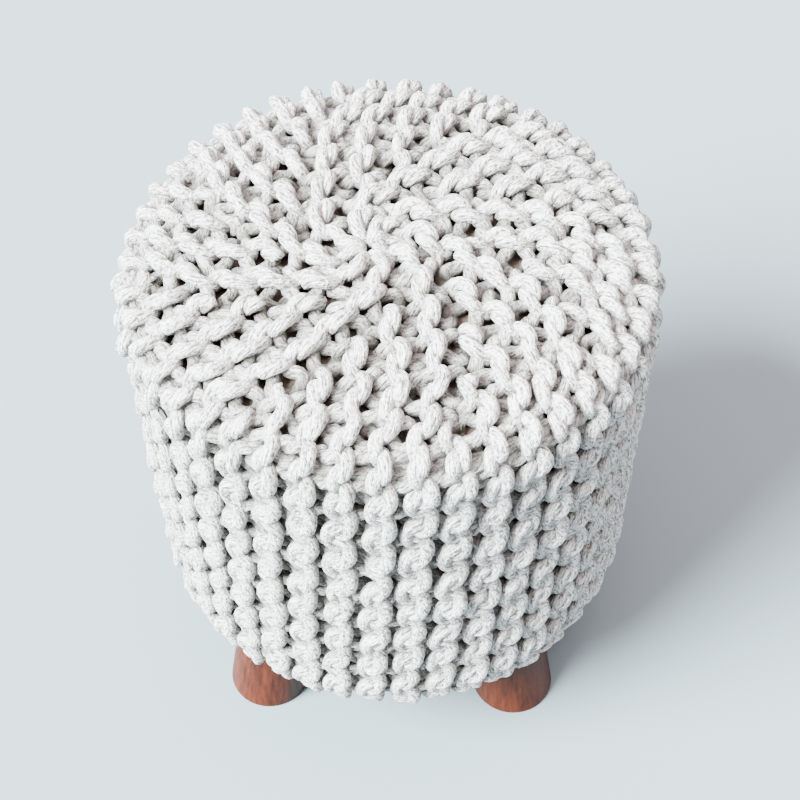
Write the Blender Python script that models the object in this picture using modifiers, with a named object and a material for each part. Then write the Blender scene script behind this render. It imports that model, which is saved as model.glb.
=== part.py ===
"""Knitted pouf stool: a filled drum in a thick garter-stitch cover, on four short splayed wooden feet.

Metres, +Z up, origin on the floor under the middle of the drum, front towards -Y.
Angles round the drum start at the front and run towards +X, so 90 degrees is +X.
"""
import math

import bmesh
import bpy
import numpy as np
from mathutils import Vector
from mathutils.geometry import delaunay_2d_cdt

# ---- driving sizes -------------------------------------------------------------------------------
SHOULDER_RADIUS = 0.1990     # over the ribs, where the crown meets the side
HEM_RADIUS = 0.1970          # over the ribs, just above the drawn-in hem
TOP_HEIGHT = 0.4500          # middle of the crown above the floor
HEM_HEIGHT = 0.0915          # underside of the knit above the floor
CROWN_RISE = 0.0540          # crown above the shoulder
CROWN_POWER = 2.9            # superellipse power of the crown: 2 is round, large is square
HEM_CORNER = 0.0380          # radius that draws the hem in under the drum

RIB_COUNT = 45
RIB_DEPTH = 0.0095           # crest to groove on the side
CROWN_RIB_DEPTH = 0.0075     # crest to groove on the crown
GROOVE_POWER = 1.6           # above 1, the groove is narrower than the crest
FIRST_RIB_DEG = 6.0
RIB_LEAN_DEG = 4.5           # the ribs drift to smaller angles by this much from shoulder to hem
COLUMNS_PER_RIB = 4

CROWN_ROW = 0.0115           # row spacing of the crown's points
SIDE_ROWS = 4
CORNER_ROWS = 4
GATHER_PLACE = (-0.0149, -0.0123)    # the knit is gathered a little off the drum's middle
GATHER_DIP = 0.0050          # how far the crown sinks at the gather
GATHER_SPREAD = 0.12         # and how wide, in radii
GATHER_RADIUS = 0.10         # ribs stop here, in radii
SHOULDER_HEIGHT = TOP_HEIGHT - CROWN_RISE

FOOT_RADIUS = 0.0345         # at the floor
FOOT_TOP_RADIUS = 0.0330
FOOT_CIRCLE = 0.1500         # foot centres at the floor, from the drum's middle
FOOT_SPLAY_DEG = 12.0
FOOT_TURN_DEG = -2.8         # the foot square is turned this much against the front
FOOT_SIDES = 40
FOOT_EDGE = 0.0015           # softened edge at the floor
SEAT_GAP = 0.0003            # between a foot and the drum

# ---- the crown's short-row wedges ------------------------------------------------------------------
# In each wedge the ribs run parallel to its last one, the full rib, and stop at the wedge before.
RIB_PITCH = math.radians(360.0 / RIB_COUNT)      # also the rib spacing on the crown, in radii
FULL_RIB_OFFSET = 0.17                           # how far a full rib passes the middle, in radii
WEDGE_COLUMNS = ("ribs", "direction_deg")
WEDGES = (
    (5, 48.0),
    (5, 88.0),
    (6, 130.6),
    (6, 181.0),
    (6, 227.0),
    (5, 268.0),
    (6, 314.0),
    (6, 364.0),
)
PARALLEL_UNTIL = 0.55        # ribs are parallel inside this fraction of the radius
RADIAL_FROM = 0.95           # and follow the side's spacing outside this one
STRAIGHT_UNTIL = 0.70        # a rib turns in once its offset is this fraction of the radius
GATHER_SWING = 1.20          # furthest it swings round from its wedge's direction
LINE_MARGIN = 0.20           # a rib's lines stop this many rib widths short of the wedge before

COVER_COLOUR = (0.80, 0.79, 0.76, 1.0)
WOOD_COLOUR = (0.24, 0.085, 0.045, 1.0)


def clear_scene():
    """Remove every object that the default scene holds."""
    for obj in list(bpy.data.objects):
        bpy.data.objects.remove(obj, do_unlink=True)


def new_material(name, colour, roughness):
    material = bpy.data.materials.new(name)
    material.use_nodes = True
    shader = material.node_tree.nodes["Principled BSDF"]
    shader.inputs["Base Color"].default_value = colour
    shader.inputs["Roughness"].default_value = roughness
    shader.inputs["Metallic"].default_value = 0.0
    return material


def smooth_step(x):
    """0 below 0, 1 above 1, and 3x^2 - 2x^3 between."""
    x = np.clip(x, 0.0, 1.0)
    return x * x * (3.0 - 2.0 * x)


def wedge_table():
    """Each wedge's rib count, direction and the angle at which its full rib reaches the shoulder."""
    rows = []
    full_rib = math.radians(FIRST_RIB_DEG)
    for values in WEDGES:
        row = dict(zip(WEDGE_COLUMNS, values))
        full_rib += row["ribs"] * RIB_PITCH
        rows.append((row["ribs"], math.radians(row["direction_deg"]), full_rib))
    return rows


def rib_angle(rib, rho, direction, full_rib):
    """Angle at radius rho of rib number `rib`, counted back from the wedge's full rib.

    Inside it is the angle of a straight line in the wedge's direction that passes the middle at
    FULL_RIB_OFFSET - rib * RIB_PITCH, turning in towards the gather where it comes close to it;
    outside it is the side's even spacing; a smooth step joins the two.
    """
    nearness = (FULL_RIB_OFFSET - rib * RIB_PITCH) / np.maximum(rho, 1e-4)
    straight = math.asin(STRAIGHT_UNTIL)
    steepness = 1.0 / math.sqrt(1.0 - STRAIGHT_UNTIL ** 2) / (GATHER_SWING - straight)
    beyond = np.maximum(np.abs(nearness) - STRAIGHT_UNTIL, 0.0)
    swing = np.arcsin(np.minimum(np.abs(nearness), STRAIGHT_UNTIL))
    swing = swing + (GATHER_SWING - straight) * (1.0 - np.exp(-steepness * beyond))
    line = direction + np.sign(nearness) * swing
    even = full_rib - rib * RIB_PITCH
    blend = smooth_step((rho - PARALLEL_UNTIL) / (RADIAL_FROM - PARALLEL_UNTIL))
    return line + (even - line) * blend


def crown_outline():
    """Crown profile from the middle to the shoulder, (r/R)^n + (z/H)^n = 1, in rows even along it.

    Returns each row's distance along the profile, its radius and its height.
    """
    t = np.linspace(0.0, math.pi / 2, 400)
    r = SHOULDER_RADIUS * np.sin(t) ** (2.0 / CROWN_POWER)
    z = SHOULDER_HEIGHT + CROWN_RISE * np.cos(t) ** (2.0 / CROWN_POWER)
    run = np.concatenate(([0.0], np.cumsum(np.hypot(np.diff(r), np.diff(z)))))
    rows = np.linspace(0.0, run[-1], int(round(run[-1] / CROWN_ROW)) + 1)
    return rows, np.interp(rows, run, r), np.interp(rows, run, z)


def groove(phase, depth):
    """How far a point `phase` rib widths from a rib's crest is pressed in."""
    nearest = np.abs(phase - np.round(phase))
    return depth * (2.0 * nearest) ** GROOVE_POWER


def crown_points():
    """Points along the crests and grooves of the crown's ribs, row by row from the gather outwards.

    Each rib gives COLUMNS_PER_RIB lines, and a line starts just past the full rib of the wedge before.
    Returns the points spread flat, their places in space, and the edges that join them along a line.
    """
    rows, radii, heights = crown_outline()
    table = wedge_table()
    flat = [(0.0, 0.0)]
    placed = [(0.0, 0.0, heights[0] - GATHER_DIP)]
    edges = []
    for index, (ribs, direction, full_rib) in enumerate(table):
        before_direction, before_full = table[index - 1][1:]
        if index == 0:
            before_direction -= 2.0 * math.pi
            before_full -= 2.0 * math.pi
        for line in range(ribs * COLUMNS_PER_RIB):
            rib = line / COLUMNS_PER_RIB - 0.5
            previous = None
            for row, r, z in zip(rows, radii, heights):
                rho = r / SHOULDER_RADIUS
                angle = float(rib_angle(rib, rho, direction, full_rib))
                seam = float(rib_angle(-0.5, rho, before_direction, before_full))
                if rho < GATHER_RADIUS or (angle - seam) * rho < LINE_MARGIN * RIB_PITCH:
                    continue
                depth = CROWN_RIB_DEPTH + (RIB_DEPTH - CROWN_RIB_DEPTH) * rho ** 6
                press = float(groove(rib, depth))
                slope_r = rho ** (CROWN_POWER - 1.0) / SHOULDER_RADIUS
                slope_z = ((z - SHOULDER_HEIGHT) / CROWN_RISE) ** (CROWN_POWER - 1.0) / CROWN_RISE
                length = math.hypot(slope_r, slope_z)
                r = r - press * slope_r / length
                z = z - press * slope_z / length - GATHER_DIP * math.exp(-((rho / GATHER_SPREAD) ** 2))
                flat.append((row * math.sin(angle), -row * math.cos(angle)))
                placed.append((r * math.sin(angle), -r * math.cos(angle), z))
                if previous is not None:
                    edges.append((previous, len(flat) - 1))
                previous = len(flat) - 1
    return flat, placed, edges


def side_profile():
    """The drum's outline from the shoulder down its side and under it, as (r, z) points."""
    side = np.linspace(0.0, 1.0, SIDE_ROWS + 1)
    side_r = SHOULDER_RADIUS + (HEM_RADIUS - SHOULDER_RADIUS) * side
    side_z = SHOULDER_HEIGHT + (HEM_HEIGHT + HEM_CORNER - SHOULDER_HEIGHT) * side
    corner = np.linspace(0.0, math.pi / 2, CORNER_ROWS + 1)[1:]
    corner_r = HEM_RADIUS - HEM_CORNER + HEM_CORNER * np.cos(corner)
    corner_z = HEM_HEIGHT + HEM_CORNER - HEM_CORNER * np.sin(corner)
    r = np.concatenate((side_r, corner_r, [0.0]))
    z = np.concatenate((side_z, corner_z, [HEM_HEIGHT]))
    return list(zip(r, z))


def turned_mesh(name, profile, steps):
    """Turn a profile in the XZ plane round Z with a Screw modifier and return the finished mesh."""
    mesh = bpy.data.meshes.new(name + "_profile")
    points = [(float(r), 0.0, float(z)) for r, z in profile]
    mesh.from_pydata(points, [(i, i + 1) for i in range(len(points) - 1)], [])
    guide = bpy.data.objects.new(name + "_profile", mesh)
    bpy.context.scene.collection.objects.link(guide)
    screw = guide.modifiers.new("Turn", "SCREW")
    screw.axis = "Z"
    screw.angle = 2.0 * math.pi
    screw.steps = steps
    screw.render_steps = steps
    screw.use_merge_vertices = True
    screw.merge_threshold = 0.00005
    graph = bpy.context.evaluated_depsgraph_get()
    turned = bpy.data.meshes.new_from_object(guide.evaluated_get(graph))
    turned.name = name
    bpy.data.objects.remove(guide, do_unlink=True)
    return turned


def mesh_points(mesh):
    """The mesh's x, y and z values as three arrays."""
    flat = np.empty(len(mesh.vertices) * 3)
    mesh.vertices.foreach_get("co", flat)
    return flat.reshape(-1, 3).T


def place_points(mesh, x, y, z):
    """Move the mesh's points to the given x, y and z values."""
    mesh.vertices.foreach_set("co", np.column_stack((x, y, z)).ravel())
    mesh.update()


def press_side_ribs(mesh):
    """Press the grooves into the turned side; they run out where the hem is drawn in under the drum."""
    x, y, z = mesh_points(mesh)
    radius = np.hypot(x, y)
    angle = np.arctan2(x, -y)
    drawn_in = np.clip((z - HEM_HEIGHT) / HEM_CORNER, 0.0, 1.0)
    depth = RIB_DEPTH * smooth_step(drawn_in * 2.0)
    press = groove((angle - math.radians(FIRST_RIB_DEG)) / RIB_PITCH, depth)
    corner_r = np.clip((radius - HEM_RADIUS + HEM_CORNER) / HEM_CORNER, 0.0, 1.0)
    normal_r = np.where(drawn_in < 1.0, corner_r, 1.0)
    normal_z = np.where(drawn_in < 1.0, drawn_in - 1.0, 0.0)
    length = np.maximum(np.hypot(normal_r, normal_z), 1e-9)
    radius = radius - press * normal_r / length
    z = z - press * normal_z / length
    place_points(mesh, radius * np.sin(angle), -radius * np.cos(angle), z)


def lean_and_gather(mesh):
    """Lean the side's ribs, and shift the crown's middle to where the knit is gathered."""
    x, y, z = mesh_points(mesh)
    radius = np.hypot(x, y)
    down = np.clip((SHOULDER_HEIGHT - z) / (SHOULDER_HEIGHT - HEM_HEIGHT), 0.0, 1.0)
    angle = np.arctan2(x, -y) - math.radians(RIB_LEAN_DEG) * down
    inside = np.clip(1.0 - (radius / SHOULDER_RADIUS) ** 2, 0.0, 1.0)
    shift = np.where(z > SHOULDER_HEIGHT, inside ** 1.5, 0.0)
    x = radius * np.sin(angle) + GATHER_PLACE[0] * shift
    y = -radius * np.cos(angle) + GATHER_PLACE[1] * shift
    place_points(mesh, x, y, z)


def make_cover(collection):
    """The filled, ribbed knit drum: one closed solid with its crown and its drawn-in hem.

    The side is a turned profile. The crown is a triangulation of its ribs' crests and grooves, welded
    to the side along the shoulder.
    """
    mesh = turned_mesh("knit_cover", side_profile(), RIB_COUNT * COLUMNS_PER_RIB)
    press_side_ribs(mesh)

    flat, placed, edges = crown_points()
    spread = [Vector(point) for point in flat]
    corners, _, faces, sources, _, _ = delaunay_2d_cdt(spread, edges, [], 0, 1e-7)
    work = bmesh.new()
    work.from_mesh(mesh)
    crown = [work.verts.new(placed[source[0]]) for source in sources[:len(corners)]]
    for face in faces:
        work.faces.new([crown[corner] for corner in face])
    bmesh.ops.remove_doubles(work, verts=work.verts, dist=0.00002)
    work.to_mesh(mesh)
    work.free()

    lean_and_gather(mesh)
    mesh.shade_smooth()
    cover = bpy.data.objects.new("knit_cover", mesh)
    cover.data.materials.append(new_material("cotton_cord", COVER_COLOUR, 0.9))
    collection.objects.link(cover)
    return cover


def foot_mesh():
    """A round peg leaning outwards along +X, cut level at the floor and under the drum."""
    height = HEM_HEIGHT - SEAT_GAP
    work = bmesh.new()
    bmesh.ops.create_cone(
        work,
        cap_ends=True,
        segments=FOOT_SIDES,
        radius1=FOOT_RADIUS,
        radius2=FOOT_TOP_RADIUS,
        depth=height,
    )
    lean = math.tan(math.radians(FOOT_SPLAY_DEG))
    for vertex in work.verts:
        vertex.co.z += height / 2
        vertex.co.x -= lean * vertex.co.z
    mesh = bpy.data.meshes.new("foot")
    work.to_mesh(mesh)
    work.free()
    return mesh


def make_feet(collection):
    """Four feet at the corners of a square, each turned so that it splays straight outwards."""
    mesh = foot_mesh()
    mesh.materials.append(new_material("stained_wood", WOOD_COLOUR, 0.45))
    mesh.shade_smooth()
    mesh.set_sharp_from_angle(angle=math.radians(40))
    corners = (("front_right", 45.0), ("back_right", 135.0), ("back_left", 225.0), ("front_left", 315.0))
    for corner, corner_deg in corners:
        around = math.radians(corner_deg + FOOT_TURN_DEG)
        foot = bpy.data.objects.new("foot_" + corner, mesh)
        foot.location = (FOOT_CIRCLE * math.sin(around), -FOOT_CIRCLE * math.cos(around), 0.0)
        foot.rotation_euler = (0.0, 0.0, around - math.pi / 2)
        edge = foot.modifiers.new("Soft edge", "BEVEL")
        edge.width = FOOT_EDGE
        edge.segments = 2
        edge.limit_method = "ANGLE"
        edge.angle_limit = math.radians(50)
        collection.objects.link(foot)


clear_scene()
pouf = bpy.data.collections.new("knitted_pouf")
bpy.context.scene.collection.children.link(pouf)
make_cover(pouf)
make_feet(pouf)
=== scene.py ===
"""Knitted pouf footstool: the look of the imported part.

Pieces: the dark padded drum inside, eight wedges of thick cord knit round it, and the four wooden
feet, which are the CAD nodes with a better material. Metres, +Z up, front towards -Y. Angles round
the drum start at the front and run towards +X.
"""
import math

import bpy
import numpy as np
from mathutils import Matrix


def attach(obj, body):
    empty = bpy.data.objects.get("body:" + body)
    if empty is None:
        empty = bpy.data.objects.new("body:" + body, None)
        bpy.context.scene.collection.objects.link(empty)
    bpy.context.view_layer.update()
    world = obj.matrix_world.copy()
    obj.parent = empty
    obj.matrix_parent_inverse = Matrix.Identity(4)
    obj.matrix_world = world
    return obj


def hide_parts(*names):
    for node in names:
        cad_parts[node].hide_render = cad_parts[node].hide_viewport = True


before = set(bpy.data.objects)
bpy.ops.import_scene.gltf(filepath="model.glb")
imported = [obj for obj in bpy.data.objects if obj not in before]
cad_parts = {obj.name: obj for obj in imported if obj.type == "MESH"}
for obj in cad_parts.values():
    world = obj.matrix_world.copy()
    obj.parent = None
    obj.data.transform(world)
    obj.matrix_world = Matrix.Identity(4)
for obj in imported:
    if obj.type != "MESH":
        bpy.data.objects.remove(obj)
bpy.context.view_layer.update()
scene = bpy.context.scene

# ---- camera --------------------------------------------------------------------------------------
# The photograph's own view: from the front, 52 degrees down, turned a degree against the floor.
FOCAL_PIXELS = 1600.0
PICTURE_PIXELS = 800.0
LOOK_AT = np.array((0.0069, 0.0252, 0.2249))
LOOK_DOWN = math.radians(51.98)
LOOK_DISTANCE = 1.3126
LOOK_ROLL = -0.0182

camera_data = bpy.data.cameras.new("photo_camera")
camera_data.sensor_width = 36.0
camera_data.lens = 36.0 * FOCAL_PIXELS / PICTURE_PIXELS
camera_data.clip_start = 0.01
camera_data.clip_end = 100.0
camera = bpy.data.objects.new("photo_camera", camera_data)
scene.collection.objects.link(camera)
forward = np.array((0.0, math.cos(LOOK_DOWN), -math.sin(LOOK_DOWN)))
level = np.array((1.0, 0.0, 0.0))
upright = np.cross(level, forward)
right = math.cos(LOOK_ROLL) * level + math.sin(LOOK_ROLL) * upright
up = -math.sin(LOOK_ROLL) * level + math.cos(LOOK_ROLL) * upright
eye = LOOK_AT - forward * LOOK_DISTANCE
pose = np.eye(4)
pose[:3, 0], pose[:3, 1], pose[:3, 2], pose[:3, 3] = right, up, -forward, eye
camera.matrix_world = Matrix(pose.tolist())
scene.camera = camera

# ---- light ---------------------------------------------------------------------------------------
# A soft studio lamp from the left and a little in front throws the long pale shadow to the right; a
# very wide overhead one and a pale surround fill it.
LAMP_FROM_DEG = -63.0        # round the drum from the front: negative is the left
LAMP_HEIGHT_DEG = 42.0
LAMP_POWER = 44.0
LAMP_SPREAD_DEG = 32.0
LAMP_COLOUR = (0.89, 0.98, 1.0)
OVERHEAD_POWER = 7.0
OVERHEAD_SPREAD_DEG = 64.0
OVERHEAD_COLOUR = (1.0, 0.86, 0.88)
SURROUND_COLOUR = (1.0, 0.87, 0.87, 1.0)
SURROUND_POWER = 0.47

lamp_data = bpy.data.lights.new("studio_lamp", "SUN")
lamp_data.energy = LAMP_POWER
lamp_data.angle = math.radians(LAMP_SPREAD_DEG)
lamp_data.color = LAMP_COLOUR
lamp = bpy.data.objects.new("studio_lamp", lamp_data)
lamp.rotation_mode = "XYZ"
lamp.rotation_euler = (math.radians(90.0 - LAMP_HEIGHT_DEG), 0.0, math.radians(LAMP_FROM_DEG))
scene.collection.objects.link(lamp)
overhead_data = bpy.data.lights.new("overhead_lamp", "SUN")
overhead_data.energy = OVERHEAD_POWER
overhead_data.angle = math.radians(OVERHEAD_SPREAD_DEG)
overhead_data.color = OVERHEAD_COLOUR
overhead = bpy.data.objects.new("overhead_lamp", overhead_data)
scene.collection.objects.link(overhead)

world = bpy.data.worlds.new("studio")
world.use_nodes = True
surround = world.node_tree.nodes["Background"]
surround.inputs["Color"].default_value = SURROUND_COLOUR
surround.inputs["Strength"].default_value = SURROUND_POWER
scene.world = world

# ---- floor ---------------------------------------------------------------------------------------
# Plain pale studio floor; not part of the object.
FLOOR_HALF = 6.0
FLOOR_COLOUR = (0.183, 0.229, 0.249, 1.0)

floor_mesh = bpy.data.meshes.new("floor")
floor_mesh.from_pydata(
    [(-FLOOR_HALF, -FLOOR_HALF, 0), (FLOOR_HALF, -FLOOR_HALF, 0),
     (FLOOR_HALF, FLOOR_HALF, 0), (-FLOOR_HALF, FLOOR_HALF, 0)], [], [(0, 1, 2, 3)])
floor = bpy.data.objects.new("floor", floor_mesh)
scene.collection.objects.link(floor)
floor_paint = bpy.data.materials.new("floor_paint")
floor_paint.use_nodes = True
floor_shader = floor_paint.node_tree.nodes["Principled BSDF"]
floor_shader.inputs["Base Color"].default_value = FLOOR_COLOUR
floor_shader.inputs["Roughness"].default_value = 0.85
floor_shader.inputs["Specular IOR Level"].default_value = 0.15
floor_mesh.materials.append(floor_paint)

# ---- drum form, shared by the padding and the knit -----------------------------------------------
# The same sizes as the solid: crown (r/R)^n + (z/H)^n = 1, a nearly straight side, and a hem drawn
# in under the drum. They give the surface that the cords' crests touch.
SHOULDER_RADIUS = 0.1990
HEM_RADIUS = 0.1970
TOP_HEIGHT = 0.4500
HEM_HEIGHT = 0.0915
CROWN_RISE = 0.0540
CROWN_POWER = 2.9
HEM_CORNER = 0.0380
HEM_REACH = 0.0300           # how far the hem runs in under the drum
SHOULDER_HEIGHT = TOP_HEIGHT - CROWN_RISE
GATHER_PLACE = (-0.0130, -0.0085)    # the middle of the crown's swirl, off the drum's middle
GATHER_DIP = 0.0050
GATHER_SPREAD = 0.12         # the dip's share of the radius
CROWN_STEPS = 500
SIDE_STEPS = 200
HEM_STEPS = 60
UNDER_STEPS = 40
SIDE_FIRST = CROWN_STEPS     # each part leaves out its first point, which the one before ends in
HEM_FIRST = SIDE_FIRST + SIDE_STEPS - 1
UNDER_FIRST = HEM_FIRST + HEM_STEPS - 1


def drum_outline():
    """The drum's outline from the middle of the crown to under the hem.

    The crown is (R sin^(2/n) t, H cos^(2/n) t), the side a straight line, the hem's corner a quarter
    circle and its underside flat. Returns radius, height, the outward normal's radial and upward
    parts, and each point's share of the radius, as arrays from the middle outwards and down.
    """
    t = np.linspace(0.0, math.pi / 2, CROWN_STEPS)
    share = np.sin(t) ** (2.0 / CROWN_POWER)
    rise = np.cos(t) ** (2.0 / CROWN_POWER)
    crown = (SHOULDER_RADIUS * share, SHOULDER_HEIGHT + CROWN_RISE * rise,
             share ** (CROWN_POWER - 1.0) / SHOULDER_RADIUS, rise ** (CROWN_POWER - 1.0) / CROWN_RISE)
    down = np.linspace(0.0, 1.0, SIDE_STEPS)[1:]
    side = (SHOULDER_RADIUS + (HEM_RADIUS - SHOULDER_RADIUS) * down,
            SHOULDER_HEIGHT + (HEM_HEIGHT + HEM_CORNER - SHOULDER_HEIGHT) * down,
            np.ones_like(down), np.zeros_like(down))
    turn = np.linspace(0.0, math.pi / 2, HEM_STEPS)[1:]
    hem = (HEM_RADIUS - HEM_CORNER + HEM_CORNER * np.cos(turn),
           HEM_HEIGHT + HEM_CORNER - HEM_CORNER * np.sin(turn), np.cos(turn), -np.sin(turn))
    inward = np.linspace(0.0, 1.0, UNDER_STEPS)[1:] * HEM_REACH
    under = (HEM_RADIUS - HEM_CORNER - inward, np.full_like(inward, HEM_HEIGHT),
             np.zeros_like(inward), -np.ones_like(inward))
    r, z, nr, nz = (np.concatenate(parts) for parts in zip(crown, side, hem, under))
    length = np.hypot(nr, nz)
    share = np.concatenate((share, np.ones(len(down) + len(turn) + len(inward))))
    return r, z, nr / length, nz / length, share


OUTLINE = drum_outline()

# ---- padding -------------------------------------------------------------------------------------
# The stuffed drum under the knit, in dark brown cloth, which shows only through the knit's gaps. It
# lies one cord layer under the crests and closes the underside flat.
PADDING_DEPTH = 0.0215
PADDING_BASE = HEM_HEIGHT + 0.0012
PADDING_COLOUR = (0.080, 0.056, 0.043)
PADDING_PALE = (0.14, 0.10, 0.078)
PADDING_STEPS = 96           # steps round the drum
CROWN_EVERY = 12             # the padding takes every so many of the outline's points
SIDE_EVERY = 14
HEM_EVERY = 8
MIX_FACTOR, MIX_FIRST, MIX_SECOND, MIX_RESULT = 0, 6, 7, 2      # a colour mix node's sockets

keep = np.r_[0:SIDE_FIRST:CROWN_EVERY, SIDE_FIRST:HEM_FIRST:SIDE_EVERY, HEM_FIRST:UNDER_FIRST:HEM_EVERY]
ring_r = np.maximum(OUTLINE[0][keep] - PADDING_DEPTH * OUTLINE[2][keep], 0.0)
ring_z = np.maximum(OUTLINE[1][keep] - PADDING_DEPTH * OUTLINE[3][keep], PADDING_BASE)
ring_r, ring_z = ring_r[1:], ring_z[1:]
# The crown's rings move towards the gather, by (1 - (r/R)^2)^1.5 of its place.
inside = np.clip(1.0 - (ring_r / SHOULDER_RADIUS) ** 2, 0.0, 1.0) ** 1.5 * (ring_z > SHOULDER_HEIGHT)
around = np.linspace(0.0, 2.0 * math.pi, PADDING_STEPS, endpoint=False)
padding_x = ring_r[:, None] * np.sin(around)[None] + (GATHER_PLACE[0] * inside)[:, None]
padding_y = -ring_r[:, None] * np.cos(around)[None] + (GATHER_PLACE[1] * inside)[:, None]
padding_z = np.repeat(ring_z[:, None], PADDING_STEPS, 1)
padding_points = np.stack((padding_x, padding_y, padding_z), -1).reshape(-1, 3)
top_point = len(padding_points)
padding_points = np.vstack((padding_points,
                            (GATHER_PLACE[0], GATHER_PLACE[1], TOP_HEIGHT - PADDING_DEPTH - GATHER_DIP),
                            (0.0, 0.0, PADDING_BASE)))
step = np.arange(PADDING_STEPS)
after = (step + 1) % PADDING_STEPS
ring_start = np.arange(len(ring_r))[:, None] * PADDING_STEPS
here, below = ring_start[:-1], ring_start[1:]
padding_sides = np.stack((here + step, below + step, below + after, here + after), -1).reshape(-1, 4)
last_ring = top_point - PADDING_STEPS
top_fan = np.stack((np.full_like(step, top_point), step, after), -1)
base_fan = np.stack((np.full_like(step, top_point + 1), last_ring + after, last_ring + step), -1)
padding_faces = padding_sides.tolist() + top_fan.tolist() + base_fan.tolist()
padding_mesh = bpy.data.meshes.new("padding")
padding_mesh.from_pydata(padding_points.tolist(), [], padding_faces)
padding_mesh.shade_smooth()
padding = bpy.data.objects.new("padding", padding_mesh)
scene.collection.objects.link(padding)

padding_cloth = bpy.data.materials.new("padding_cloth")
padding_cloth.use_nodes = True
nodes, links = padding_cloth.node_tree.nodes, padding_cloth.node_tree.links
cloth_shader = nodes["Principled BSDF"]
cloth_shader.inputs["Roughness"].default_value = 0.95
place = nodes.new("ShaderNodeTexCoord")
weave = nodes.new("ShaderNodeTexNoise")
weave.inputs["Scale"].default_value = 900.0
weave.inputs["Detail"].default_value = 2.0
links.new(place.outputs["Object"], weave.inputs["Vector"])
tone = nodes.new("ShaderNodeMix")
tone.data_type = "RGBA"
tone.inputs[MIX_FIRST].default_value = (*PADDING_COLOUR, 1.0)
tone.inputs[MIX_SECOND].default_value = (*PADDING_PALE, 1.0)
links.new(weave.outputs["Fac"], tone.inputs[MIX_FACTOR])
links.new(tone.outputs[MIX_RESULT], cloth_shader.inputs["Base Color"])
padding_mesh.materials.append(padding_cloth)

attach(padding, "root")
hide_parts("knit_cover")

# ---- cotton cord: the material of the knit -------------------------------------------------------
# Soft off-white cord of three loosely twisted plies: fine fibres along it, shallow lines between the
# plies, and small dark flecks. Its colour carries painted shade in the lines between fibres and plies and
# where it lies far in the knit. U runs along the cord in metres and V once round it.
CORD_COLOUR = (0.90, 0.884, 0.860)
PAINTED_LINE_SHADE = (0.150, 0.139, 0.120)      # painted shade in the lines between its fibres and plies
PAINTED_DEEP_SHADE = (0.056, 0.047, 0.032)       # painted shade where the cord lies far under the crests
FLECK_COLOUR = (0.10, 0.10, 0.10)
CORD_PLIES = 3.0
CORD_LAY = 11.0              # turns of the plies and fibres per metre
FIBRE_RING = 0.0058          # the fibres' pattern is read on a ring of about the cord's radius
FIBRE_PACE = 0.46            # and this much slower along it than round it, so that it is drawn out
PLY_WANDER = 9.0
PLY_EDGE = 0.6
PLY_RELIEF = 0.30
FIBRE_RELIEF = 1.6
FUZZ_RELIEF = 1.3
LUMP_RELIEF = 1.6
# weights of the random patches and of the ply grooves in the cord's painted line shade
PATCH_SHADE = 0.42
PLY_SHADE = 0.16

cotton = bpy.data.materials.new("cotton_cord")
cotton.use_nodes = True
nodes, links = cotton.node_tree.nodes, cotton.node_tree.links
shader = nodes["Principled BSDF"]
shader.inputs["Roughness"].default_value = 0.92
shader.inputs["Specular IOR Level"].default_value = 0.2
shader.inputs["Sheen Weight"].default_value = 0.15
shader.inputs["Sheen Roughness"].default_value = 0.5
along = nodes.new("ShaderNodeUVMap")
along.uv_map = "cord"
split = nodes.new("ShaderNodeSeparateXYZ")
links.new(along.outputs["UV"], split.inputs[0])


def cord_math(operation, first, second):
    """The outlet of one math node; a number is set on its socket, an outlet is linked to it."""
    node = nodes.new("ShaderNodeMath")
    node.operation = operation
    for socket, value in zip(node.inputs, (first, second)):
        if isinstance(value, (int, float)):
            socket.default_value = value
        else:
            links.new(value, socket)
    return node.outputs[0]


# Round the cord, fibres and plies are followed by their angle, so the seam of V doesn't show: the
# pattern's place is (R cos lay, R sin lay, pace u), with lay = 2 pi (turns per metre u + v).
lay = cord_math("MULTIPLY", cord_math("ADD", cord_math("MULTIPLY", split.outputs[0], CORD_LAY),
                                      split.outputs[1]), 2.0 * math.pi)
ring = nodes.new("ShaderNodeCombineXYZ")
links.new(cord_math("MULTIPLY", cord_math("COSINE", lay, 0.0), FIBRE_RING), ring.inputs[0])
links.new(cord_math("MULTIPLY", cord_math("SINE", lay, 0.0), FIBRE_RING), ring.inputs[1])
links.new(cord_math("MULTIPLY", split.outputs[0], FIBRE_PACE), ring.inputs[2])
fibre = nodes.new("ShaderNodeTexNoise")
fibre.inputs["Scale"].default_value = 560.0
fibre.inputs["Detail"].default_value = 3.0
fibre.inputs["Roughness"].default_value = 0.65
links.new(ring.outputs[0], fibre.inputs["Vector"])
lump = nodes.new("ShaderNodeTexNoise")
lump.inputs["Scale"].default_value = 210.0
lump.inputs["Detail"].default_value = 2.0
links.new(ring.outputs[0], lump.inputs["Vector"])
ply_angle = cord_math("ADD", cord_math("MULTIPLY", lay, CORD_PLIES),
                      cord_math("MULTIPLY", lump.outputs["Fac"], PLY_WANDER))
ply_wave = cord_math("ABSOLUTE", cord_math("SINE", ply_angle, 0.0), 0.0)
ply_line = cord_math("POWER", ply_wave, PLY_EDGE)

where = nodes.new("ShaderNodeTexCoord")
fuzz = nodes.new("ShaderNodeTexNoise")
fuzz.inputs["Scale"].default_value = 420.0
fuzz.inputs["Detail"].default_value = 3.0
links.new(where.outputs["Object"], fuzz.inputs["Vector"])
fleck = nodes.new("ShaderNodeTexNoise")
fleck.inputs["Scale"].default_value = 330.0
fleck.inputs["Detail"].default_value = 2.0
links.new(where.outputs["Object"], fleck.inputs["Vector"])
fleck_mask = nodes.new("ShaderNodeMapRange")
fleck_mask.inputs["From Min"].default_value = 0.66
fleck_mask.inputs["From Max"].default_value = 0.72
fleck_mask.inputs["To Max"].default_value = 0.55
links.new(fleck.outputs["Fac"], fleck_mask.inputs["Value"])

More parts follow.
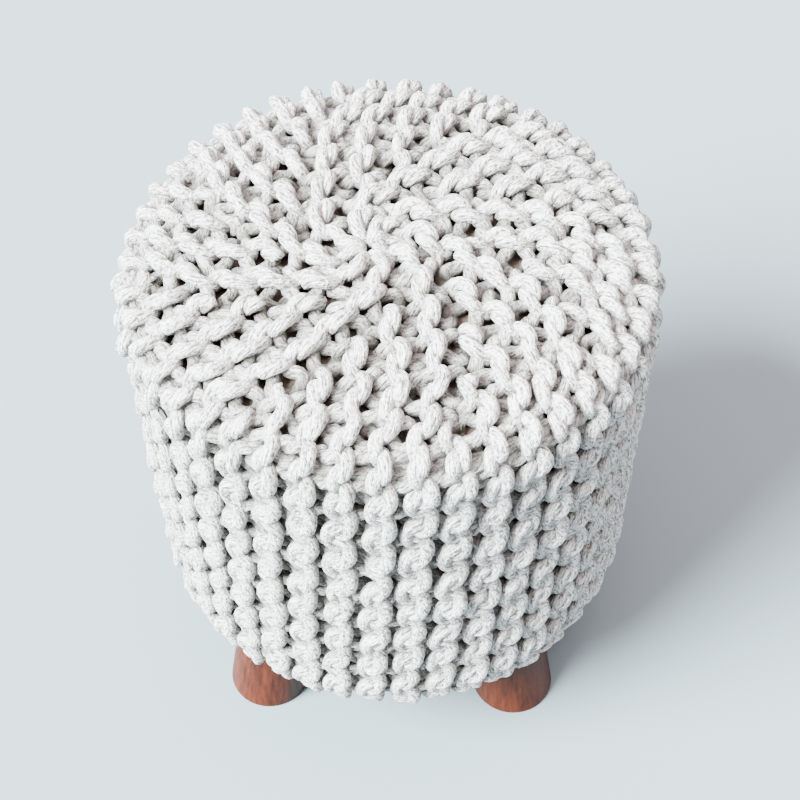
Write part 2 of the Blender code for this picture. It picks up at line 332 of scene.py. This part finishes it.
ply_relief = cord_math("MULTIPLY", ply_line, PLY_RELIEF)
fibre_relief = cord_math("MULTIPLY", fibre.outputs["Fac"], FIBRE_RELIEF)
fuzz_relief = cord_math("MULTIPLY", fuzz.outputs["Fac"], FUZZ_RELIEF)
lump_relief = cord_math("MULTIPLY", lump.outputs["Fac"], LUMP_RELIEF)
relief = cord_math("ADD", ply_relief, cord_math("ADD", fibre_relief, fuzz_relief))
relief = cord_math("ADD", relief, lump_relief)
bump = nodes.new("ShaderNodeBump")
bump.inputs["Strength"].default_value = 1.0
bump.inputs["Distance"].default_value = 0.0026
links.new(relief, bump.inputs["Height"])
links.new(bump.outputs["Normal"], shader.inputs["Normal"])

# Painted shade in dark lines between the fibres and between the plies, mixed with patches of darker tone
# that come and go at random.
shade = nodes.new("ShaderNodeMix")
shade.data_type = "RGBA"
shade.inputs[MIX_FIRST].default_value = (*PAINTED_LINE_SHADE, 1.0)
shade.inputs[MIX_SECOND].default_value = (*CORD_COLOUR, 1.0)
line_shade_mask = nodes.new("ShaderNodeMapRange")
line_shade_mask.inputs["From Min"].default_value = 0.45
line_shade_mask.inputs["From Max"].default_value = 0.70
patch = cord_math("MULTIPLY", cord_math("SUBTRACT", fuzz.outputs["Fac"], 0.5), PATCH_SHADE)
lines = cord_math("ADD", cord_math("MULTIPLY", ply_line, PLY_SHADE), fibre.outputs["Fac"])
links.new(cord_math("ADD", patch, lines), line_shade_mask.inputs["Value"])
links.new(line_shade_mask.outputs[0], shade.inputs[MIX_FACTOR])
# Painted shade: the cord darkens with its depth in metres under the crests' surface, which each knit
# piece carries, standing in for the shade inside the knit.
depth = nodes.new("ShaderNodeAttribute")
depth.attribute_name = "depth"
deep_shade_mask = nodes.new("ShaderNodeMapRange")
deep_shade_mask.interpolation_type = "SMOOTHSTEP"
deep_shade_mask.inputs["From Min"].default_value = 0.0005
deep_shade_mask.inputs["From Max"].default_value = 0.0170
links.new(depth.outputs["Fac"], deep_shade_mask.inputs["Value"])
painted_depth_shade = nodes.new("ShaderNodeMix")
painted_depth_shade.data_type = "RGBA"
painted_depth_shade.inputs[MIX_SECOND].default_value = (*PAINTED_DEEP_SHADE, 1.0)
links.new(deep_shade_mask.outputs[0], painted_depth_shade.inputs[MIX_FACTOR])
links.new(shade.outputs[MIX_RESULT], painted_depth_shade.inputs[MIX_FIRST])
speckle = nodes.new("ShaderNodeMix")
speckle.data_type = "RGBA"
speckle.inputs[MIX_SECOND].default_value = (*FLECK_COLOUR, 1.0)
links.new(fleck_mask.outputs[0], speckle.inputs[MIX_FACTOR])
links.new(painted_depth_shade.outputs[MIX_RESULT], speckle.inputs[MIX_FIRST])
links.new(speckle.outputs[MIX_RESULT], shader.inputs["Base Color"])

# ---- knit ----------------------------------------------------------------------------------------
# Garter stitch in one thick cord, worked sideways round the drum: two rows of loops make one rib. On
# the crown the rows are short ones in eight wedges: a wedge's ribs run parallel to its last, full rib
# and stop at the full rib of the wedge before. Each wedge is one piece of closed cords.
RIB_COUNT = 45
FIRST_RIB_DEG = 6.0          # the last wedge's full rib, where it meets the side
RIB_LEAN_DEG = 4.5           # how far round a rib has moved at the hem
RIB_PITCH = math.radians(360.0 / RIB_COUNT)
FULL_RIB_OFFSET = 0.17       # a full rib passes the middle at this share of the radius
WEDGE_COLUMNS = ("ribs", "direction_deg")
WEDGES = (
    (5, 48.0),
    (5, 88.0),
    (6, 130.6),
    (6, 181.0),
    (6, 227.0),
    (5, 268.0),
    (6, 314.0),
    (6, 364.0),
)
PARALLEL_UNTIL = 0.55        # shares of the radius between which the ribs turn to the side's spacing
RADIAL_FROM = 0.95
STRAIGHT_UNTIL = 0.70        # sine past which a rib swings in towards the gather
GATHER_SWING = 1.20          # and the angle that it nears there
SHORT_ROW_ROOM = 0.64        # a short row stops where this share of a pitch is left beside it
SHORT_ROW_END = 0.16         # or at this share of the radius
FULL_ROW_END = 0.03
SQUEEZE_SLACK = 1.1          # a rib narrows once its room is less than its width by this factor

SIDE_CORD_RADIUS = 0.0053
CROWN_CORD_RADIUS = 0.0050
SIDE_STITCH = 0.0365         # stitch length along a rib, on the side
CROWN_STITCH = 0.0295        # and on the crown, where the knit isn't pulled down
CROWN_STITCH_FROM = 0.02     # the change from one to the other starts so far below the shoulder
CROWN_STITCH_BLEND = 0.05    # and takes so much of the rib
ROW_SPACING = 0.0138         # two rows to a rib
KNIT_INSET = 0.0142          # middle of the knit under the crests' surface
CREST_PROUD = 0.0015         # and how far the whole knit is let out again
TIGHT_THINNING = 0.22        # how much thinner the cord is where a rib is squeezed to nothing
RIB_END = 0.018              # the last stretch of a rib, where it rises or dips to its end
SQUEEZED_END = 0.9           # a rib squeezed more than this ends in the gather and rises
GATHER_END_RISE = 0.007
SHORT_ROW_END_RISE = -0.005
UNEVEN_START = 0.14          # how far a rib's stitches start off their place, in stitches
UNEVEN_STITCH = (0.0013, 0.0011, 0.0009)      # along the rib, across it and out of the cloth
UNEVEN_PER_STITCH = 2        # changes of that in one stitch
LOOP_COLUMNS = ("hook", "reach", "lean", "weave", "fold", "tilt", "slant", "phase")
SIDE_LOOP = (0.240, 0.0125, 0.0013, 0.0047, 0.0081, 0.0008, 0.0013, 0.05)
CROWN_LOOP = (0.220, 0.0104, 0.0003, 0.0047, 0.0060, 0.0012, 0.0010, 0.40)
POINTS_PER_STITCH = 28
CORD_SIDES = 12
PLY_DEPTH = 0.075            # as a share of the cord's radius, like its swelling
CORD_SWELL = 0.055
SWELL_EVERY = 4              # points along the cord from one swelling to the next
SEED = 11


def stitch_loop(row, t, crown_part):
    """The loop of one stitch at parameter t, in one of a rib's two rows.

    s = t / 2 pi + hook sin 2t in stitches along the rib,
    v = -+ spacing / 2 + reach cos t +- lean cos 2t across it, and
    n = +- weave cos(3t +- phase) -+ slant sin 2t + tilt cos t + fold cos(pi v / spacing) out of the
    cloth. The signs turn over from row to row, which knits the rows together the garter way, and
    fold lays the cloth in ribs.
    """
    loop = {name: side + (crown - side) * crown_part
            for name, side, crown in zip(LOOP_COLUMNS, SIDE_LOOP, CROWN_LOOP)}
    turned = 1.0 if row == 0 else -1.0
    s = t / (2.0 * math.pi) + loop["hook"] * np.sin(2.0 * t)
    v = -turned * ROW_SPACING / 2.0 + loop["reach"] * np.cos(t) + turned * loop["lean"] * np.cos(2.0 * t)
    weave = loop["weave"] * np.cos(3.0 * t + turned * loop["phase"])
    n = turned * (weave - loop["slant"] * np.sin(2.0 * t))
    n = n + loop["tilt"] * np.cos(t) + loop["fold"] * np.cos(math.pi * v / ROW_SPACING)
    return s, v, n


def rib_angle(rib, share, direction, full_rib):
    """Angle of rib number `rib` at a share of the radius, as in the solid.

    Inside, a straight line in the wedge's direction, direction + asin(distance from the middle /
    share), which swings in towards the gather past STRAIGHT_UNTIL; outside, the side's even spacing.
    """
    nearness = (FULL_RIB_OFFSET - rib * RIB_PITCH) / np.maximum(share, 1e-4)
    straight = math.asin(STRAIGHT_UNTIL)
    steepness = 1.0 / math.sqrt(1.0 - STRAIGHT_UNTIL ** 2) / (GATHER_SWING - straight)
    beyond = np.maximum(np.abs(nearness) - STRAIGHT_UNTIL, 0.0)
    swing = np.arcsin(np.minimum(np.abs(nearness), STRAIGHT_UNTIL))
    swing = swing + (GATHER_SWING - straight) * (1.0 - np.exp(-steepness * beyond))
    line = direction + np.sign(nearness) * swing
    even = full_rib - rib * RIB_PITCH
    x = np.clip((share - PARALLEL_UNTIL) / (RADIAL_FROM - PARALLEL_UNTIL), 0.0, 1.0)
    return line + (even - line) * x * x * (3.0 - 2.0 * x)


def rib_path(rib, direction, full_rib, before_direction, before_full):
    """A rib's middle line from under the hem to its inner end.

    Returns distance from the hem's underside, place, the direction across the rib, the outward
    normal, and the share of its full width that the rib has, as arrays.
    """
    r, z, nr, nz, share = OUTLINE
    angle = rib_angle(rib, share, direction, full_rib)
    before = rib_angle(0.0, share, before_direction, before_full)
    room = (angle - before) * share * SHOULDER_RADIUS
    crown = np.arange(len(r)) < CROWN_STEPS
    if rib:
        has_room = room > SHORT_ROW_ROOM * RIB_PITCH * SHOULDER_RADIUS
        stopped = crown & ~(has_room & (share > SHORT_ROW_END))
    else:
        stopped = crown & (share <= FULL_ROW_END)
    first = np.where(stopped)[0].max() + 1
    r, z, nr, nz, share, angle, crown = (v[first:] for v in (r, z, nr, nz, share, angle, crown))
    down = np.clip((SHOULDER_HEIGHT - z) / (SHOULDER_HEIGHT - HEM_HEIGHT), 0.0, 1.0)
    angle = np.where(crown, angle, full_rib - rib * RIB_PITCH - math.radians(RIB_LEAN_DEG) * down)
    shift = np.where(crown, np.clip(1.0 - share ** 2, 0.0, 1.0) ** 1.5, 0.0)
    dip = np.where(crown, GATHER_DIP * np.exp(-((share / GATHER_SPREAD) ** 2)), 0.0)
    place = np.stack((r * np.sin(angle) + GATHER_PLACE[0] * shift,
                      -r * np.cos(angle) + GATHER_PLACE[1] * shift, z - dip), 1)
    normal = np.stack((nr * np.sin(angle), -nr * np.cos(angle), nz), 1)
    run = np.concatenate(([0.0], np.cumsum(np.linalg.norm(np.diff(place, axis=0), axis=1))))
    along_rib = run[-1] - run
    heading = np.gradient(place, axis=0)
    heading = heading / np.maximum(np.linalg.norm(heading, axis=1, keepdims=True), 1e-9)
    across = np.cross(normal, heading)
    across = across / np.linalg.norm(across, axis=1, keepdims=True)
    full_rib_room = 2.0 * math.pi * share * SHOULDER_RADIUS / len(WEDGES)
    squeeze = np.minimum(1.0, full_rib_room / (2.0 * ROW_SPACING) * SQUEEZE_SLACK)
    squeeze = np.where(crown, squeeze, 1.0)
    flip = slice(None, None, -1)
    return along_rib[flip], place[flip], across[flip], normal[flip], squeeze[flip]


def knit_row(row, path, shoulder_at, start, dice):
    """The middle of one row's cord along a rib, from under the hem to the rib's inner end.

    The stitches' loops are laid out along the rib's path and wander a little; `start` is how far
    they begin off their even place, in stitches. Returns the line, its height over the crests'
    surface, the outward normal and the cord's radius, as arrays.
    """
    distance, place, across, normal, squeeze = path
    from_end = np.clip(1.0 - (distance[-1] - distance) / RIB_END, 0.0, 1.0) ** 2
    end_rise = (GATHER_END_RISE if squeeze[-1] < SQUEEZED_END else SHORT_ROW_END_RISE) * from_end
    crown_part = np.clip((distance - shoulder_at + CROWN_STITCH_FROM) / CROWN_STITCH_BLEND, 0.0, 1.0)
    pace = SIDE_STITCH + (CROWN_STITCH - SIDE_STITCH) * crown_part
    stitches = np.concatenate(([0.0], np.cumsum(np.diff(distance) / pace[1:])))
    total = stitches[-1]
    count = int(total * POINTS_PER_STITCH)
    t = np.linspace(0.0, total, count) * 2.0 * math.pi
    part_at = np.interp(t / (2.0 * math.pi), stitches, crown_part)
    loop_s, loop_v, loop_n = stitch_loop(row, t + 2.0 * math.pi * start, part_at)
    knots = dice.normal(0.0, 1.0, (int(total * UNEVEN_PER_STITCH) + 4, 3)) * UNEVEN_STITCH
    at = t / (2.0 * math.pi) * UNEVEN_PER_STITCH + 1
    low = np.floor(at).astype(int)
    part = (at - low)[:, None]
    part = part * part * (3.0 - 2.0 * part)
    wander = knots[low] * (1.0 - part) + knots[low + 1] * part
    s = np.interp(loop_s - start, stitches, distance) + wander[:, 0]
    centre = np.stack([np.interp(s, distance, place[:, k]) for k in range(3)], 1)
    side = np.stack([np.interp(s, distance, across[:, k]) for k in range(3)], 1)
    out = np.stack([np.interp(s, distance, normal[:, k]) for k in range(3)], 1)
    narrow = np.interp(s, distance, squeeze)
    rise = np.interp(s, distance, end_rise)
    lift = loop_n + wander[:, 2] + CREST_PROUD - KNIT_INSET + rise
    line = centre + side * ((loop_v + wander[:, 1]) * narrow)[:, None] + out * lift[:, None]
    radius = SIDE_CORD_RADIUS + (CROWN_CORD_RADIUS - SIDE_CORD_RADIUS) * part_at
    radius = radius * (1.0 - TIGHT_THINNING + TIGHT_THINNING * narrow)
    return line, lift, out, radius


def sweep_cord(line, lift, out, radius, dice):
    """A closed three-ply cord along a line, on frames that don't twist.

    Each frame is the one before, reflected twice: in the plane between the two points, then in the
    plane between the two directions. Returns the points, the faces round the cord, their U and V,
    the end faces, and each point's depth under the crests' surface.
    """
    heading = np.gradient(line, axis=0)
    heading = heading / np.linalg.norm(heading, axis=1, keepdims=True)
    side = np.cross(heading[0], (0.0, 0.0, 1.0))
    if np.linalg.norm(side) < 0.1:
        side = np.cross(heading[0], (1.0, 0.0, 0.0))
    side = side / np.linalg.norm(side)
    sides = [side]
    for i in range(len(line) - 1):
        step = line[i + 1] - line[i]
        step_square = step @ step
        side = side - 2.0 / step_square * (step @ side) * step
        mirrored_heading = heading[i] - 2.0 / step_square * (step @ heading[i]) * step
        turn = heading[i + 1] - mirrored_heading
        turn_square = turn @ turn
        if turn_square > 1e-14:
            side = side - 2.0 / turn_square * (turn @ side) * turn
        sides.append(side)
    sides = np.array(sides)
    other = np.cross(heading, sides)
    angle = np.arange(CORD_SIDES) * 2.0 * math.pi / CORD_SIDES
    knots = dice.normal(0.0, 1.0, len(line) // SWELL_EVERY + 3)
    swelling = np.interp(np.arange(len(line)) / SWELL_EVERY, np.arange(len(knots)), knots)
    swell = radius * (1.0 + CORD_SWELL * swelling)
    run = np.concatenate(([0.0], np.cumsum(np.linalg.norm(np.diff(line, axis=0), axis=1))))
    plies = 1.0 + PLY_DEPTH * np.cos(CORD_PLIES * (angle[None] + 2.0 * math.pi * CORD_LAY * run[:, None]))
    rings = line[:, None] + (swell[:, None] * plies)[:, :, None] * (
        np.cos(angle)[None, :, None] * sides[:, None] + np.sin(angle)[None, :, None] * other[:, None])
    points = np.concatenate((rings.reshape(-1, 3), line[:1], line[-1:]))
    depth = -lift[:, None] - ((rings - line[:, None]) * out[:, None]).sum(2)
    depth = np.concatenate((depth.ravel(), -lift[:1], -lift[-1:]))
    i, k = np.meshgrid(np.arange(len(line) - 1), np.arange(CORD_SIDES), indexing="ij")
    k2 = (k + 1) % CORD_SIDES
    quads = np.stack((i * CORD_SIDES + k, i * CORD_SIDES + k2,
                      (i + 1) * CORD_SIDES + k2, (i + 1) * CORD_SIDES + k), -1).reshape(-1, 4)
    u0, u1 = run[i], run[i + 1]
    v0, v1 = k / CORD_SIDES, (k + 1) / CORD_SIDES
    quad_uv = np.stack((u0, v0, u0, v1, u1, v1, u1, v0), -1).reshape(-1, 2)
    ends = len(line) * CORD_SIDES
    last = (len(line) - 1) * CORD_SIDES
    k = np.arange(CORD_SIDES)
    k2 = (k + 1) % CORD_SIDES
    caps = np.concatenate((np.stack((np.full_like(k, ends), k2, k), -1),
                           np.stack((np.full_like(k, ends + 1), last + k, last + k2), -1)))
    return points, quads, quad_uv, caps, depth


full_rib = math.radians(FIRST_RIB_DEG)
wedge_rows = []
for values in WEDGES:
    wedge_row = dict(zip(WEDGE_COLUMNS, values))
    full_rib += wedge_row["ribs"] * RIB_PITCH
    wedge_rows.append((wedge_row["ribs"], math.radians(wedge_row["direction_deg"]), full_rib))
dice = np.random.default_rng(SEED)
for number, (ribs, direction, full_rib) in enumerate(wedge_rows):
    before_direction, before_full = wedge_rows[number - 1][1:]
    # The first wedge follows the last one, a whole turn back.
    if number == 0:
        before_direction -= 2.0 * math.pi
        before_full -= 2.0 * math.pi
    parts = []
    for rib in range(ribs):
        path = rib_path(rib, direction, full_rib, before_direction, before_full)
        shoulder_at = float(np.interp(-SHOULDER_HEIGHT, -path[1][::-1, 2], path[0][::-1]))
        start = dice.uniform(-UNEVEN_START, UNEVEN_START)
        for row in (0, 1):
            parts.append(sweep_cord(*knit_row(row, path, shoulder_at, start, dice), dice))
    starts = np.concatenate(([0], np.cumsum([len(part[0]) for part in parts])))
    points = np.concatenate([part[0] for part in parts])
    quads = np.concatenate([part[1] + start for part, start in zip(parts, starts)])
    quad_uv = np.concatenate([part[2] for part in parts])
    caps = np.concatenate([part[3] + start for part, start in zip(parts, starts)])
    mesh = bpy.data.meshes.new("knit_wedge_%d" % (number + 1))
    mesh.vertices.add(len(points))
    mesh.vertices.foreach_set("co", points.ravel())
    mesh.loops.add(quads.size + caps.size)
    mesh.loops.foreach_set("vertex_index", np.concatenate((quads.ravel(), caps.ravel())))
    mesh.polygons.add(len(quads) + len(caps))
    mesh.polygons.foreach_set("loop_start", np.concatenate(
        (np.arange(len(quads)) * 4, quads.size + np.arange(len(caps)) * 3)))
    uv = mesh.uv_layers.new(name="cord")
    mesh.update(calc_edges=True)
    uv.data.foreach_set("uv", np.concatenate((quad_uv.ravel(), np.zeros(caps.size * 2))))
    # each point's depth under the crests, which the cotton turns into painted shade
    depth_layer = mesh.attributes.new("depth", "FLOAT", "POINT")
    depth_layer.data.foreach_set("value", np.concatenate([part[4] for part in parts]))
    mesh.validate()
    mesh.shade_smooth()
    mesh.materials.append(cotton)
    wedge = bpy.data.objects.new("knit_wedge_%d" % (number + 1), mesh)
    scene.collection.objects.link(wedge)
    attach(wedge, "root")
    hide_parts("knit_cover")

# ---- feet ----------------------------------------------------------------------------------------
# The four CAD feet in reddish brown stained hardwood: upright grain with darker streaks, satin.
WOOD_COLOUR = (0.076, 0.016, 0.0052)
WOOD_DARK = (0.019, 0.0036, 0.0012)

wood = bpy.data.materials.new("stained_wood_grain")
wood.use_nodes = True
nodes, links = wood.node_tree.nodes, wood.node_tree.links
wood_shader = nodes["Principled BSDF"]
wood_shader.inputs["Roughness"].default_value = 0.42
wood_shader.inputs["Specular IOR Level"].default_value = 0.15
where = nodes.new("ShaderNodeTexCoord")
lengthen = nodes.new("ShaderNodeMapping")
lengthen.inputs["Scale"].default_value = (1.0, 1.0, 0.07)
links.new(where.outputs["Object"], lengthen.inputs["Vector"])
streak = nodes.new("ShaderNodeTexNoise")
streak.inputs["Scale"].default_value = 260.0
streak.inputs["Detail"].default_value = 5.0
streak.inputs["Roughness"].default_value = 0.7
streak.inputs["Distortion"].default_value = 0.4
links.new(lengthen.outputs[0], streak.inputs["Vector"])
band = nodes.new("ShaderNodeTexNoise")
band.inputs["Scale"].default_value = 60.0
band.inputs["Detail"].default_value = 2.0
links.new(lengthen.outputs[0], band.inputs["Vector"])
grain = nodes.new("ShaderNodeMath")
grain.operation = "ADD"
links.new(streak.outputs["Fac"], grain.inputs[0])
links.new(band.outputs["Fac"], grain.inputs[1])
grain_range = nodes.new("ShaderNodeMapRange")
grain_range.inputs["From Min"].default_value = 0.78
grain_range.inputs["From Max"].default_value = 1.18
links.new(grain.outputs[0], grain_range.inputs["Value"])
stain = nodes.new("ShaderNodeMix")
stain.data_type = "RGBA"
stain.inputs[MIX_FIRST].default_value = (*WOOD_DARK, 1.0)
stain.inputs[MIX_SECOND].default_value = (*WOOD_COLOUR, 1.0)
links.new(grain_range.outputs[0], stain.inputs[MIX_FACTOR])
links.new(stain.outputs[MIX_RESULT], wood_shader.inputs["Base Color"])
pores = nodes.new("ShaderNodeBump")
pores.inputs["Strength"].default_value = 0.25
pores.inputs["Distance"].default_value = 0.0004
links.new(streak.outputs["Fac"], pores.inputs["Height"])
links.new(pores.outputs["Normal"], wood_shader.inputs["Normal"])
for corner in ("front_right", "back_right", "back_left", "front_left"):
    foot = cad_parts["foot_" + corner]
    foot.data.materials.clear()
    foot.data.materials.append(wood)
